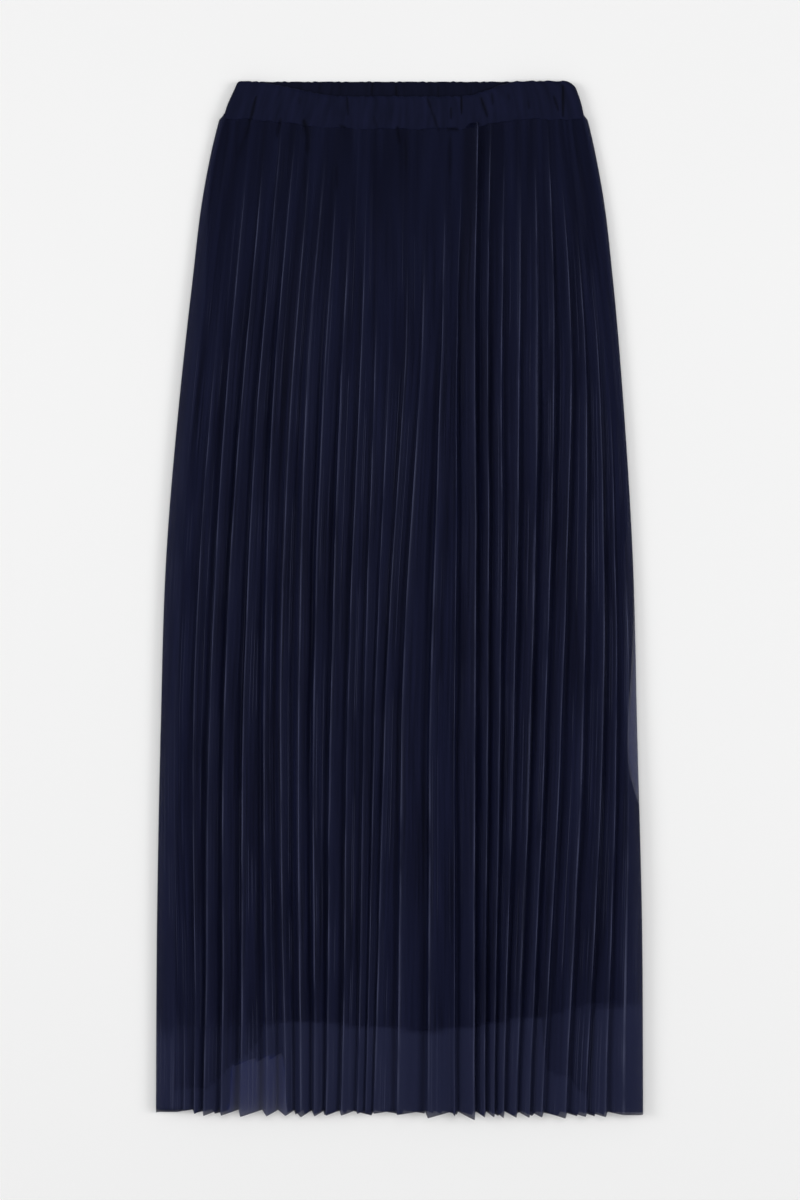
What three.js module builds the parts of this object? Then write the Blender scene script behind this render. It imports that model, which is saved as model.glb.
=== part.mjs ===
// A pleated midi skirt laid flat on a table, in millimetres. X runs across it, Y from the hem
// up to the waist and Z up from the table, and the origin is the middle of the table it covers.
// From the table up lie the pleated back, the back lining, the front lining and the pleated
// front. A gathered waistband of two halves holds them at the top, and its front half dips.
import * as THREE from "three";

// Lengths that run down the skirt are measured from the top of the waistband.
const LENGTH = 890; // to the longest fold of the hem
const HEM_SIDES = 882; // to the hem at the sides, between folds
const HEM_SAG = 4; // how much lower the hem lies in the middle
const HEM_TOOTH = 4; // how far an outer fold reaches below the inner ones at the hem
const CLOTH = 1; // wall of the pleated cloth and of the lining
const GAP = 0.3; // air between two layers, and between two pieces at a seam

// The side seams lie on the fold between front and back, and the cloth rolls down to them.
const SEAM_Z = 4.9;
const ROLL = 6; // how far from the side the cloth starts to roll down

const BAND_HEIGHT = 33; // waistband at the side seams
const BAND_EASE = 5; // how much lower the waistband's front is in its middle
const BAND_INSET = 1.5; // the waistband is drawn in at its ends, above the wider skirt
const FRONT_DIP = 13; // how far the front's top edge hangs below the back's
const DIP = { from: -135, flatFrom: -45, flatTo: 52, to: 105 }; // where across the front it dips

// Depth of the pleats on each side, fold to fold, where they are fully formed.
const FRONT_PLEAT = 5;
const BACK_PLEAT = 3.5;
const DEPTH_AT_WAIST = 0.35; // share of that depth where the pleats leave the waistband
const FORMED = 330; // how far down the pleats have their whole depth

// The outline, one row for each height: how far down, and its two sides.
const OUTLINE = [
  { down: 0, left: -140, right: 148 },
  { down: 13, left: -146, right: 155 },
  { down: 32, left: -155, right: 160 },
  { down: 50, left: -160, right: 165 },
  { down: 100, left: -170, right: 175 },
  { down: 180, left: -179, right: 184 },
  { down: 280, left: -189, right: 192 },
  { down: 410, left: -200, right: 200 },
  { down: 565, left: -205, right: 204 },
  { down: 720, left: -208, right: 208 },
  { down: LENGTH, left: -209, right: 209 },
];

// The front's pleats, one row for each outer fold from left to right: where it lies across the
// skirt at the waistband, hip, knee and hem, how far over to the next fold the inner fold
// between them lies, as a share, and its depth, as a share of a full pleat.
const LEVELS = { waist: 40, hip: 204, knee: 445, hem: 884 };
const PLEATS = [
  { waist: -151, hip: -173, knee: -192, hem: -194, inner: 0.85, depth: 0.4 },
  { waist: -145, hip: -164, knee: -184, hem: -184, inner: 0.88, depth: 0.6 },
  { waist: -138, hip: -154, knee: -172, hem: -175, inner: 0.88, depth: 0.85 },
  { waist: -127, hip: -142, knee: -158, hem: -167, inner: 0.9, depth: 1 },
  { waist: -114, hip: -128, knee: -146, hem: -152, inner: 0.9, depth: 1 },
  { waist: -101, hip: -115, knee: -130, hem: -136, inner: 0.82, depth: 1 },
  { waist: -89, hip: -103, knee: -114, hem: -114, inner: 0.6, depth: 1 },
  { waist: -75, hip: -88, knee: -100, hem: -98, inner: 0.6, depth: 1 },
  { waist: -62, hip: -76, knee: -85, hem: -85, inner: 0.78, depth: 1 },
  { waist: -51, hip: -62, knee: -72, hem: -73, inner: 0.88, depth: 1 },
  { waist: -39, hip: -48, knee: -57, hem: -63, inner: 0.9, depth: 0.9 },
  { waist: -27, hip: -32, knee: -42, hem: -50, inner: 0.9, depth: 0.8 },
  { waist: -17, hip: -20, knee: -28, hem: -36, inner: 0.88, depth: 0.6 },
  { waist: -6, hip: -8, knee: -18, hem: -29, inner: 0.88, depth: 0.5 },
  { waist: 7, hip: 6, knee: -8, hem: -22, inner: 0.9, depth: 0.6 },
  { waist: 22, hip: 22, knee: 9, hem: -2, inner: 0.9, depth: 0.8 },
  { waist: 40, hip: 37, knee: 29, hem: 26, inner: 0.14, depth: 1.1 },
  { waist: 54, hip: 50, knee: 48, hem: 45, inner: 0.1, depth: 0.9 },
  { waist: 67, hip: 65, knee: 65, hem: 64, inner: 0.12, depth: 1.35 },
  { waist: 78, hip: 76, knee: 76, hem: 73, inner: 0.12, depth: 1 },
  { waist: 90, hip: 88, knee: 87, hem: 81, inner: 0.12, depth: 1 },
  { waist: 103, hip: 103, knee: 100, hem: 89, inner: 0.1, depth: 1 },
  { waist: 115, hip: 118, knee: 115, hem: 100, inner: 0.1, depth: 1 },
  { waist: 126, hip: 132, knee: 128, hem: 111, inner: 0.1, depth: 1 },
  { waist: 134, hip: 146, knee: 142, hem: 122, inner: 0.1, depth: 1 },
  { waist: 141, hip: 157, knee: 159, hem: 142, inner: 0.1, depth: 1 },
  { waist: 147, hip: 167, knee: 175, hem: 159, inner: 0.1, depth: 0.9 },
  { waist: 152, hip: 175, knee: 185, hem: 176, inner: 0.12, depth: 0.8 },
  { waist: 156, hip: 181, knee: 194, hem: 191, inner: 0.5, depth: 0.6 },
];

// Rows of the panels, as shares of the way from the waistband to the hem, and the columns
// between a side edge and its nearest fold, as shares of the way from the edge.
const PANEL_ROWS = [0, 0.03, 0.09, 0.18, 0.3, 0.46, 0.64, 0.82, 1];
const EDGE_COLUMNS = [0, 0.1, 0.3, 0.65];

// The back's hem has ridden up at the left, so that only the front hangs there.
const RIDE_UP = { from: -147, to: -96, rise: 40, extra: 10, ramp: 4 };

// The lining's lower edges, one row for each place across: how far down front and back reach.
const LINING_HEM = [
  { across: -205, front: 812, back: 868 },
  { across: -170, front: 811, back: 866 },
  { across: -135, front: 809, back: 848 },
  { across: -112, front: 807, back: 826 },
  { across: -85, front: 806, back: 803 },
  { across: -40, front: 809, back: 796 },
  { across: 20, front: 814, back: 795 },
  { across: 60, front: 811, back: 797 },
  { across: 95, front: 804, back: 808 },
  { across: 125, front: 801, back: 846 },
  { across: 150, front: 796, back: 862 },
  { across: 168, front: 786, back: 867 },
  { across: 205, front: 785, back: 868 },
];
const LINING_INSET = 4.5; // the lining is this much narrower than the skirt at each side
const LINING_SLACK = { from: 430, to: 612, inset: 4 }; // where its right side lies further in
const LINING_COLUMNS = 36;

// Creases that the elastic draws in the waistband, one row for each: where its upper and
// lower ends lie across the front, and how deep it is. The back has them the other way round.
const CREASES = [
  { upper: -122, lower: -127, depth: 1.3 },
  { upper: -104, lower: -108, depth: 0.5 },
  { upper: -84, lower: -88, depth: 0.6 },
  { upper: -62, lower: -64, depth: 0.4 },
  { upper: -46, lower: -44, depth: 0.8 },
  { upper: -24, lower: -26, depth: 0.4 },
  { upper: -6, lower: -4, depth: 0.5 },
  { upper: 14, lower: 12, depth: 0.4 },
  { upper: 27, lower: 34, depth: 1.1 },
  { upper: 44, lower: 46, depth: 0.7 },
  { upper: 53, lower: 55, depth: 1.3 },
  { upper: 69, lower: 77, depth: 1.1 },
  { upper: 87, lower: 89, depth: 0.7 },
  { upper: 104, lower: 107, depth: 0.8 },
  { upper: 121, lower: 118, depth: 0.6 },
  { upper: 137, lower: 139, depth: 1.2 },
];
const CREASE_WIDTH = 5;

// Sections of the waistband from its upper to its lower edge: the share of its height, the
// share of its full thickness there, and the share of a crease's depth.
const BAND_ROWS = [
  { share: 0, thickness: 0.45, crease: 0.3 },
  { share: 0.08, thickness: 0.85, crease: 0.8 },
  { share: 0.5, thickness: 1, crease: 1 },
  { share: 0.92, thickness: 0.9, crease: 0.9 },
  { share: 1, thickness: 0.5, crease: 0.4 },
];

const { clamp, lerp, smoothstep } = THREE.MathUtils;

// A smooth curve through the rows of a table: it takes a value of the column key, and gives
// the column wanted.
function curveThrough(rows, key, wanted) {
  const curve = new THREE.CubicInterpolant(
    rows.map((row) => row[key]),
    rows.map((row) => row[wanted]),
    1,
  );
  return (at) => curve.evaluate(clamp(at, rows[0][key], rows.at(-1)[key]))[0];
}

const sideAt = {
  left: curveThrough(OUTLINE, "down", "left"),
  right: curveThrough(OUTLINE, "down", "right"),
};

// Where each outer fold lies across the front, as a curve down the skirt.
const foldAt = PLEATS.map((pleat) => {
  const points = Object.entries(LEVELS).map(([level, down]) => ({ down, across: pleat[level] }));
  return curveThrough(points, "down", "across");
});

// Share of the front's dip, 1 over its flat middle and 0 at the sides.
function dipAt(x) {
  return smoothstep(x, DIP.from, DIP.flatFrom) * (1 - smoothstep(x, DIP.flatTo, DIP.to));
}

// 1 in the middle of the skirt and 0 at the sides of the hem.
function archAt(x) {
  return Math.max(0, 1 - (x / sideAt.right(LENGTH)) ** 2);
}

// How far down the upper edge, the seam and the hem lie at x.
const bandTop = { front: (x) => FRONT_DIP * dipAt(x), back: () => 0 };
const bandFoot = {
  front: (x) => BAND_HEIGHT + (FRONT_DIP - BAND_EASE) * dipAt(x),
  back: () => BAND_HEIGHT,
};
const hemAt = (x) => HEM_SIDES + HEM_SAG * archAt(x);

// How much the back's hem has ridden up at x.
function rideUpAt(x) {
  const within =
    smoothstep(x, RIDE_UP.from, RIDE_UP.from + RIDE_UP.ramp) *
    (1 - smoothstep(x, RIDE_UP.to - RIDE_UP.ramp, RIDE_UP.to));
  const along = clamp((x - RIDE_UP.from) / (RIDE_UP.to - RIDE_UP.from), 0, 1);
  return within * (RIDE_UP.rise + RIDE_UP.extra * along);
}

// How far down a row of the panels lies at x, as a share of the way from the waistband.
function reachAt(side, x, share) {
  return lerp(bandFoot[side](x) + GAP, hemAt(x), share);
}

// Share of a pleat's whole depth at a distance down the skirt.
function formedAt(down) {
  return lerp(DEPTH_AT_WAIST, 1, smoothstep(down, LEVELS.waist, FORMED));
}

// Heights of the layers above the table at a distance down the skirt. Each lies one gap above
// the one below, so the pile is lower at the waist, where the pleats are shallow.
function layersAt(down) {
  const backTop = CLOTH + BACK_PLEAT * formedAt(down);
  const liningBack = backTop + GAP;
  const liningFront = liningBack + CLOTH + GAP;
  const front = liningFront + CLOTH + GAP;
  return { backTop, liningBack, liningFront, front };
}

// Joins an upper and a lower grid of points, both rows of columns from left to right and from
// the waist down, into one closed wall.
function wallBetween(upper, lower) {
  const rows = upper.length;
  const columns = upper[0].length;
  const points = [...upper.flat(), ...lower.flat()];
  const top = (row, column) => row * columns + column;
  const bottom = (row, column) => rows * columns + top(row, column);
  const faces = [];
  for (let row = 0; row + 1 < rows; row++) {
    for (let column = 0; column + 1 < columns; column++) {
      const corners = [
        [row, column],
        [row + 1, column],
        [row + 1, column + 1],
        [row, column + 1],
      ];
      const [a, b, c, d] = corners.map(([r, s]) => top(r, s));
      faces.push(a, b, c, a, c, d);
      const [e, f, g, h] = corners.map(([r, s]) => bottom(r, s));
      faces.push(e, g, f, e, h, g);
    }
  }
  for (const [from, to] of rimOf(rows, columns)) {
    const [p, q] = [top(...from), top(...to)];
    const [r, s] = [bottom(...from), bottom(...to)];
    faces.push(q, p, r, q, r, s);
  }
  return new THREE.BufferGeometry().setFromPoints(points).setIndex(faces);
}

// The steps around the edge of a grid: down the left side, across the foot, and back.
function rimOf(rows, columns) {
  const corners = [];
  for (let row = 0; row < rows - 1; row++) corners.push([row, 0]);
  for (let column = 0; column < columns - 1; column++) corners.push([rows - 1, column]);
  for (let row = rows - 1; row > 0; row--) corners.push([row, columns - 1]);
  for (let column = columns - 1; column > 0; column--) corners.push([0, column]);
  return corners.map((corner, i) => [corner, corners[(i + 1) % corners.length]]);
}

// The two faces of a wall around a middle line of points {x, z}: each point moves out square
// to the line, and further at a sharp fold, so that the wall keeps its thickness.
function facesOf(line, thickness) {
  const SHARPEST = 0.5; // a fold sharper than this stops growing its corner
  const steps = line.slice(1).map((point, i) => {
    return new THREE.Vector2(point.x - line[i].x, point.z - line[i].z).normalize();
  });
  return line.map((point, i) => {
    // The two ends stand upright at the side seams.
    const from = steps[i - 1] ?? new THREE.Vector2(0, Math.sign(steps[0].y));
    const to = steps[i] ?? new THREE.Vector2(0, Math.sign(from.y));
    const isEnd = i === 0 || i === line.length - 1;
    const along = isEnd ? (i ? to : from) : from.clone().add(to).normalize();
    const out = isEnd ? thickness / 2 : thickness / 2 / Math.max(SHARPEST, along.dot(from));
    return {
      upper: { x: point.x - along.y * out, z: point.z + along.x * out },
      lower: { x: point.x + along.y * out, z: point.z - along.x * out },
    };
  });
}

// The points of a pleated panel across one height, as {x, proud}: proud is 1 on an outer fold
// and 0 on an inner one. Each pleat has its two folds and one point on its wide face, set by
// face: how far along the face from the outer fold, and how proud.
function pleatsAcross(down, face) {
  const folds = foldAt.map((at) => at(down));
  const points = [];
  folds.forEach((x, i) => {
    const { inner, depth } = PLEATS[i];
    points.push({ x, proud: depth });
    if (i + 1 === folds.length) return;
    const next = { x: folds[i + 1], proud: PLEATS[i + 1].depth };
    const valley = { x: lerp(x, next.x, inner), proud: 0 };
    const wide = inner > 0.5 ? { x, proud: depth } : next;
    const middle = {
      x: lerp(wide.x, valley.x, face.along),
      proud: wide.proud * face.proud,
    };
    points.push(...(inner > 0.5 ? [middle, valley] : [valley, middle]));
  });
  return points;
}

// A pleated panel, from the waistband to the hem. The back is the front turned over, with its
// outer folds pressed flat on the table.
function pleatedPanel(side) {
  const isBack = side === "back";
  const face = isBack ? { along: 0.62, proud: 1 } : { along: 0.5, proud: 0.58 };
  const grids = { upper: [], lower: [] };
  for (const share of PANEL_ROWS) {
    const down = lerp(LEVELS.waist, LEVELS.hem, share);
    const { front, backTop } = layersAt(down);
    const left = sideAt.left(down) + CLOTH / 2;
    const right = sideAt.right(down) - CLOTH / 2;
    const pleats = pleatsAcross(down, face).map(({ x, proud }) => ({
      x: isBack ? left + right - x : x,
      proud: isBack ? Math.min(proud, 1) : proud,
    }));
    if (isBack) pleats.reverse();
    const first = pleats[0];
    const last = pleats.at(-1);
    const line = [
      ...EDGE_COLUMNS.map((s) => ({ x: lerp(left, first.x, s), proud: first.proud })),
      ...pleats,
      ...EDGE_COLUMNS.toReversed().map((s) => ({ x: lerp(right, last.x, s), proud: last.proud })),
    ].map(({ x, proud }) => {
      const aside = clamp(Math.min(x - left, right - x) / ROLL, 0, 1);
      const roll = Math.sqrt(1 - (1 - aside) ** 2);
      const formed = formedAt(down);
      const seam = SEAM_Z + (isBack ? -GAP / 2 : GAP / 2);
      const lying = isBack
        ? CLOTH / 2 + BACK_PLEAT * formed * (1 - proud)
        : front + CLOTH / 2 + FRONT_PLEAT * formed * proud;
      return { x, z: lerp(seam, lying, roll), proud, isFlat: aside === 1 };
    });
    // Inside the rolled sides no fold reaches out of its own layer.
    const floorAt = (isFlat) => (isFlat && !isBack ? front : 0);
    const ceilingAt = (isFlat) => (isFlat && isBack ? backTop : Infinity);
    const faces = facesOf(line, CLOTH);
    for (const where of ["upper", "lower"]) {
      grids[where].push(
        faces.map((pair, i) => {
          const { x } = pair[where];
          const { isFlat } = line[i];
          const z = clamp(pair[where].z, floorAt(isFlat), ceilingAt(isFlat));
          const tooth = HEM_TOOTH * Math.min(line[i].proud, 1) - (isBack ? rideUpAt(x) : 0);
          const reach = reachAt(side, x, share) + (share === 1 ? tooth : 0);
          return new THREE.Vector3(x, LENGTH / 2 - reach, z);
        }),
      );
    }
  }
  return wallBetween(grids.upper, grids.lower);
}

// Half of the plain lining, which lies flat between the pleated panels.
function liningPanel(side) {
  const hem = curveThrough(LINING_HEM, "across", side);
  const grids = { upper: [], lower: [] };
  for (const share of PANEL_ROWS) {
    const down = lerp(LEVELS.waist, LEVELS.hem, share);
    const slack =
      LINING_SLACK.inset *
      Math.sin(Math.PI * clamp(THREE.MathUtils.inverseLerp(LINING_SLACK.from, LINING_SLACK.to, down), 0, 1));
    const left = sideAt.left(down) + LINING_INSET;
    const right = sideAt.right(down) - LINING_INSET - slack;
    const { liningBack, liningFront } = layersAt(down);
    const z = side === "back" ? liningBack : liningFront;
    const row = Array.from({ length: LINING_COLUMNS }, (_, i) => {
      const x = lerp(left, right, i / (LINING_COLUMNS - 1));
      const reach = share === 1 ? hem(x) : reachAt(side, x, share);
      return new THREE.Vector3(x, LENGTH / 2 - reach, z);
    });
    grids.lower.push(row);
    grids.upper.push(row.map((point) => point.clone().setZ(z + CLOTH)));
  }
  return wallBetween(grids.upper, grids.lower);
}

// Columns across the waistband: its ends, and each crease with the cloth on its two sides.
// share runs from the upper edge to the lower one.
function bandColumns(side, share) {
  const down = BAND_HEIGHT * share;
  const ends = [sideAt.left(down) + BAND_INSET, sideAt.right(down) - BAND_INSET];
  const creases = CREASES.map(({ upper, lower, depth }) => {
    const x = lerp(upper, lower, share);
    return { x: side === "back" ? ends[0] + ends[1] - x : x, depth };
  }).sort((a, b) => a.x - b.x);
  const columns = creases.flatMap(({ x, depth }) => [
    { x: x - CREASE_WIDTH / 2, depth: 0 },
    { x, depth },
    { x: x + CREASE_WIDTH / 2, depth: 0 },
  ]);
  return [{ x: ends[0], depth: 0 }, ...columns, { x: ends[1], depth: 0 }];
}

// Half of the waistband: a casing filled by its elastic, creased on the side that shows.
function waistband(side) {
  const { liningFront, front } = layersAt(LEVELS.waist);
  const floor = side === "back" ? 0 : liningFront;
  const ceiling = side === "back" ? liningFront - GAP : front + CLOTH + FRONT_PLEAT * DEPTH_AT_WAIST;
  const grids = { upper: [], lower: [] };
  for (const { share, thickness, crease } of BAND_ROWS) {
    const half = ((ceiling - floor) / 2) * thickness;
    // The back's underside is flat on the table, and the front is rounded above and below.
    const middle = side === "back" ? half : (ceiling + floor) / 2;
    const columns = bandColumns(side, share);
    const at = (x, z) => {
      const down = lerp(bandTop[side](x), bandFoot[side](x), share);
      return new THREE.Vector3(x, LENGTH / 2 - down, z);
    };
    grids.upper.push(columns.map(({ x, depth }) => at(x, middle + half - depth * crease)));
    grids.lower.push(columns.map(({ x }) => at(x, middle - half)));
  }
  return wallBetween(grids.upper, grids.lower);
}

const sheerCloth = new THREE.MeshStandardMaterial({ color: 0x1b1e36, roughness: 0.75, metalness: 0 });
const liningCloth = new THREE.MeshStandardMaterial({ color: 0x10121f, roughness: 0.6, metalness: 0 });
const bandCloth = new THREE.MeshStandardMaterial({ color: 0x171a2e, roughness: 0.7, metalness: 0 });

function piece(name, geometry, material) {
  const mesh = new THREE.Mesh(geometry, material);
  mesh.name = name;
  return mesh;
}

const skirt = new THREE.Group();
skirt.name = "pleated_skirt";
for (const side of ["front", "back"]) {
  skirt.add(
    piece(`pleated_${side}`, pleatedPanel(side), sheerCloth),
    piece(`lining_${side}`, liningPanel(side), liningCloth),
    piece(`waistband_${side}`, waistband(side), bandCloth),
  );
}

export default skirt;
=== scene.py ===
# Pleated midi skirt of see-through mesh over a plain lining, lying flat on a table.
# X runs across it, Y from the hem up to the waist and Z up from the table. From the table up
# lie the pleated back, the back lining, the front lining and the pleated front, and one
# gathered waistband goes all the way round their top edges.
import math
from collections import namedtuple
from functools import partial

import bpy
import numpy as np
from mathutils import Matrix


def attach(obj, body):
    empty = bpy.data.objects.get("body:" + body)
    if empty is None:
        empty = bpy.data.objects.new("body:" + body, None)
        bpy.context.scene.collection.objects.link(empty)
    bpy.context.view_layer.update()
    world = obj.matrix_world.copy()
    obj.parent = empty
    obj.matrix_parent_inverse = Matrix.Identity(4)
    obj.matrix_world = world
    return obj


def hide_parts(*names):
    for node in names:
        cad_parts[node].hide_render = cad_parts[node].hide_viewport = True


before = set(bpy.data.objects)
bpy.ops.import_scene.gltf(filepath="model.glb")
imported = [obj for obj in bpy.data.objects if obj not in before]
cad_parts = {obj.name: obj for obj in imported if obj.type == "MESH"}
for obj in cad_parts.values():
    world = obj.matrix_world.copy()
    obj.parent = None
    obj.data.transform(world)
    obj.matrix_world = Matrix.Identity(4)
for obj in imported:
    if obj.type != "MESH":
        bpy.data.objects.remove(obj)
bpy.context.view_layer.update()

bl_info = {
    "name": "Pleated midi skirt",
    "version": (1, 0, 0),
    "blender": (4, 5, 0),
    "location": "3D View > Sidebar > Skirt",
    "description": "Makes a lined skirt of pleated mesh, lying flat on a table",
    "category": "Add Mesh",
}

MM = 0.001
PHOTO_HEIGHT = 1200  # pixels
PIXEL = 0.859  # millimetres of the skirt that one of them shows

# Sizes in millimetres. Lengths down the skirt start at the top of the waistband.

LENGTH = 890  # to the longest fold of the hem
HEM = {"left": 880.6, "right": 883}  # to the hem at the sides, between folds
BACK_LONGER = 0.6  # how much lower the back's hem lies than the front's
LEVELS = {"waist": 40, "hip": 204, "knee": 445, "hem": 884}
FORMED = 330  # how far down the pleats have their whole depth
DEPTH_AT_WAIST = 0.35  # share of that depth where they leave the waistband

LAYER = 1.0  # height that each layer of cloth takes up
GAP = 0.3  # air between two layers
BACK_PLEAT = 3.5  # depth of the back's pleats, which the height of the layers above rests on
SEAM_Z = 4.9  # height of the side seams above the table
ROLL = 6  # how far from a side the cloth starts to roll down to its seam

BAND_HEIGHT = 33
BAND_EASE = 5
BAND_INSET = 1.5
FRONT_DIP = 13
DIP = {"from": -135, "flat_from": -45, "flat_to": 52, "to": 105}
TUCK = 5  # how far the panels reach up inside the waistband
TUCK_INSET = 4.5  # how far inside its ends they stay there

Height = namedtuple("Height", "down left right")
OUTLINE = [
    Height(0, -140, 150),
    Height(13, -145.5, 155),
    Height(32, -152.5, 159.5),
    Height(50, -157.5, 164),
    Height(100, -168, 174),
    Height(180, -178, 183.5),
    Height(280, -189, 192),
    Height(410, -200, 200),
    Height(565, -205, 204),
    Height(720, -208, 208),
    Height(LENGTH, -209, 209),
]

# One row for each outer fold of the front, from left to right: where it lies across the skirt
# at four heights, how far over to the next fold the inner fold lies, as a share, its depth,
# how far down the skirt it starts, and how much of the depth the inner fold beyond it has.
Pleat = namedtuple("Pleat", "waist hip knee hem inner depth starts valley", defaults=[1])
PLEATS = [
    Pleat(-151, -173, -192, -194, 0.85, 0.4, 850),
    Pleat(-145, -164, -184, -184, 0.88, 0.6, 820),
    Pleat(-138, -154, -172, -175, 0.88, 0.7, 230),
    Pleat(-127, -142, -158, -167, 0.9, 1, 110),
    Pleat(-114, -128, -146, -152, 0.9, 1, 100),
    Pleat(-101, -115, -130, -136, 0.82, 1, 80),
    Pleat(-89, -103, -114, -114, 0.6, 1, 85),
    Pleat(-75, -88, -100, -98, 0.6, 1, 110),
    Pleat(-62, -76, -85, -85, 0.78, 1, 95),
    Pleat(-51, -62, -72, -73, 0.88, 1, 130),
    Pleat(-39, -48, -57, -63, 0.9, 0.9, 150),
    Pleat(-27, -32, -42, -50, 0.9, 0.8, 150),
    Pleat(-17, -20, -28, -36, 0.88, 0.6, 220),
    Pleat(-6, -8, -18, -29, 0.88, 0.5, 250),
    Pleat(7, 6, -8, -22, 0.9, 0.6, 200),
    Pleat(22, 20, 6, -2, 0.9, 0.8, 170),
    Pleat(40, 37, 29, 24, 0.9, 1.1, 140, 0.35),
    Pleat(54, 50, 48, 47, 0.1, 0.9, 110),
    Pleat(67, 65, 65, 64, 0.12, 1.35, -120),
    Pleat(78, 76, 76, 73, 0.12, 1, 60),
    Pleat(90, 88, 87, 81, 0.12, 1, 110),
    Pleat(103, 103, 100, 89, 0.1, 1, 120),
    Pleat(115, 118, 115, 100, 0.1, 1, 110),
    Pleat(126, 132, 128, 111, 0.1, 1, 80),
    Pleat(134, 146, 142, 122, 0.1, 1, 130),
    Pleat(141, 157, 159, 142, 0.1, 1, 170),
    Pleat(147, 167, 175, 159, 0.1, 0.9, 220),
    Pleat(152, 175, 185, 176, 0.12, 0.8, 300),
    Pleat(156, 181, 194, 191, 0.5, 0.6, 420),
]
PLEAT_CLOTH = 19  # cloth across one pleat, from fold to fold

# The back's hem has ridden up at the left, so that only the front hangs there.
RIDE_UP = {"from": -147, "to": -96, "rise": 40, "extra": 10, "ramp": 4}

# The linings' lower edges: how far down front and back reach, at places across the skirt.
LiningHem = namedtuple("LiningHem", "across front back")
LINING_HEM = [
    LiningHem(-209, 812, 866),
    LiningHem(-165, 811, 862),
    LiningHem(-156, 810, 856),
    LiningHem(-146, 810, 845),
    LiningHem(-136, 809, 838),
    LiningHem(-121, 809, 824),
    LiningHem(-116, 808, 806),
    LiningHem(-85, 806, 802),
    LiningHem(-40, 809, 796),
    LiningHem(20, 814, 795),
    LiningHem(60, 811, 797),
    LiningHem(95, 804, 798),
    LiningHem(121, 803, 800),
    LiningHem(126, 801, 848),
    LiningHem(146, 795, 853),
    LiningHem(150, 794, 861),
    LiningHem(162, 791, 868),
    LiningHem(166, 790, 796),
    LiningHem(209, 790, 795),
]
# How far inside the mesh's sides the linings end, at places down the skirt.
LiningSide = namedtuple("LiningSide", "down left right")
LINING_SIDES = [
    LiningSide(0, 3, 3),
    LiningSide(80, 3, 3),
    LiningSide(190, 13, 4),
    LiningSide(425, 15, 5),
    LiningSide(455, 15, 10),
    LiningSide(600, 16, 11),
    LiningSide(680, 16, 11),
    LiningSide(LENGTH, 16, 18),
]
# Where the back mesh has crept in from the right side, so that one layer is left there. The
# more lopsided it is, the lower down lies its widest place.
SLIVER = {"from": 420, "to": 616, "width": 8.5, "lopsided": 3}
LINING_SEW = 11  # how far above the lining's lower edge its hem is sewn

# Creases that the elastic draws in the waistband and in the cloth just below it: where each
# starts and ends, across and down the skirt, how deep it is and how wide.
Crease = namedtuple("Crease", "x0 down0 x1 down1 depth width")
CREASES = [
    Crease(-123, 14, -129, 39, 1.2, 1.3),
    Crease(-129, 39, -133, 50, 0.9, 1.9),
    Crease(-133, 50, -139, 66, 0.6, 2.2),
    Crease(-102, 33, -105, 47, 0.9, 1.8),
    Crease(-85, 14, -86, 20, 0.4, 1.2),
    Crease(-82, 34, -79, 48, 1.4, 2.3),
    Crease(-79, 48, -80, 62, 1.2, 2.0),
    Crease(-81, 66, -83, 100, 0.8, 1.6),
    Crease(-54, 72, -54, 92, 0.7, 1.5),
    Crease(-45, 14, -44, 29, 0.9, 1.1),
    Crease(-52, 38, -46, 40, 0.9, 1.2),
    Crease(-22, 31, -19, 42, 0.5, 1.5),
    Crease(-2, 40, 0, 52, 1.4, 1.7),
    Crease(5, 50, 5, 74, 0.6, 1.5),
    Crease(24, 15, 27, 24, 0.9, 1.2),
    Crease(27, 24, 33, 41, 0.8, 1.3),
    Crease(44, 23, 44, 32, 0.9, 1.1),
    Crease(53, 13, 53, 28, 1.4, 1.1),
    Crease(41, 41, 50, 41, 1.0, 1.1),
    Crease(43, 47, 43, 82, 0.8, 1.7),
    Crease(70, 15, 75, 30, 1.2, 1.3),
    Crease(79, 11, 80, 20, 0.8, 1.1),
    Crease(93, 11, 94, 16, 0.6, 1.0),
    Crease(110, 17, 111, 24, 0.7, 1.1),
    Crease(132, 13, 136, 25, 0.9, 1.3),
    Crease(140, 4, 140, 30, 1.4, 1.2),
]
# The creases inside the back half of the waistband, as seen from above.
INNER_CREASES = [
    Crease(-60, 2, -59, 12, 0.6, 1.2),
    Crease(-23, 0, -24, 14, 1.3, 1.1),
    Crease(-3, 4, -3, 14, 1.3, 1.3),
    Crease(12, 1, 13, 10, 0.5, 1.2),
    Crease(33, 2, 33, 14, 1.1, 1.1),
    Crease(62, 2, 61, 12, 0.8, 1.3),
    Crease(90, 1, 89, 11, 0.6, 1.2),
]


def smoothstep(low, high, x):
    t = np.clip((np.asarray(x, float) - low) / (high - low), 0, 1)
    return t * t * (3 - 2 * t)


def mix(a, b, t):
    return a + (b - a) * t


def curve_through(rows, key, wanted):
    """A smooth curve through a table's rows, from the column key to the column wanted."""
    xs = np.array([getattr(row, key) for row in rows], float)
    ys = np.array([getattr(row, wanted) for row in rows], float)
    slopes = np.gradient(ys, xs)

    def at(x):
        x = np.clip(x, xs[0], xs[-1])
        i = np.clip(np.searchsorted(xs, x) - 1, 0, len(xs) - 2)
        step = xs[i + 1] - xs[i]
        t = (x - xs[i]) / step
        return (
            ys[i] * (1 + 2 * t) * (1 - t) ** 2
            + slopes[i] * step * t * (1 - t) ** 2
            + ys[i + 1] * t * t * (3 - 2 * t)
            + slopes[i + 1] * step * t * t * (t - 1)
        )

    return at


def line_through(rows, key, wanted):
    """Straight lines through a table's rows, from the column key to the column wanted."""
    xs = [getattr(row, key) for row in rows]
    ys = [getattr(row, wanted) for row in rows]
    return lambda x: np.interp(x, xs, ys)


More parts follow.
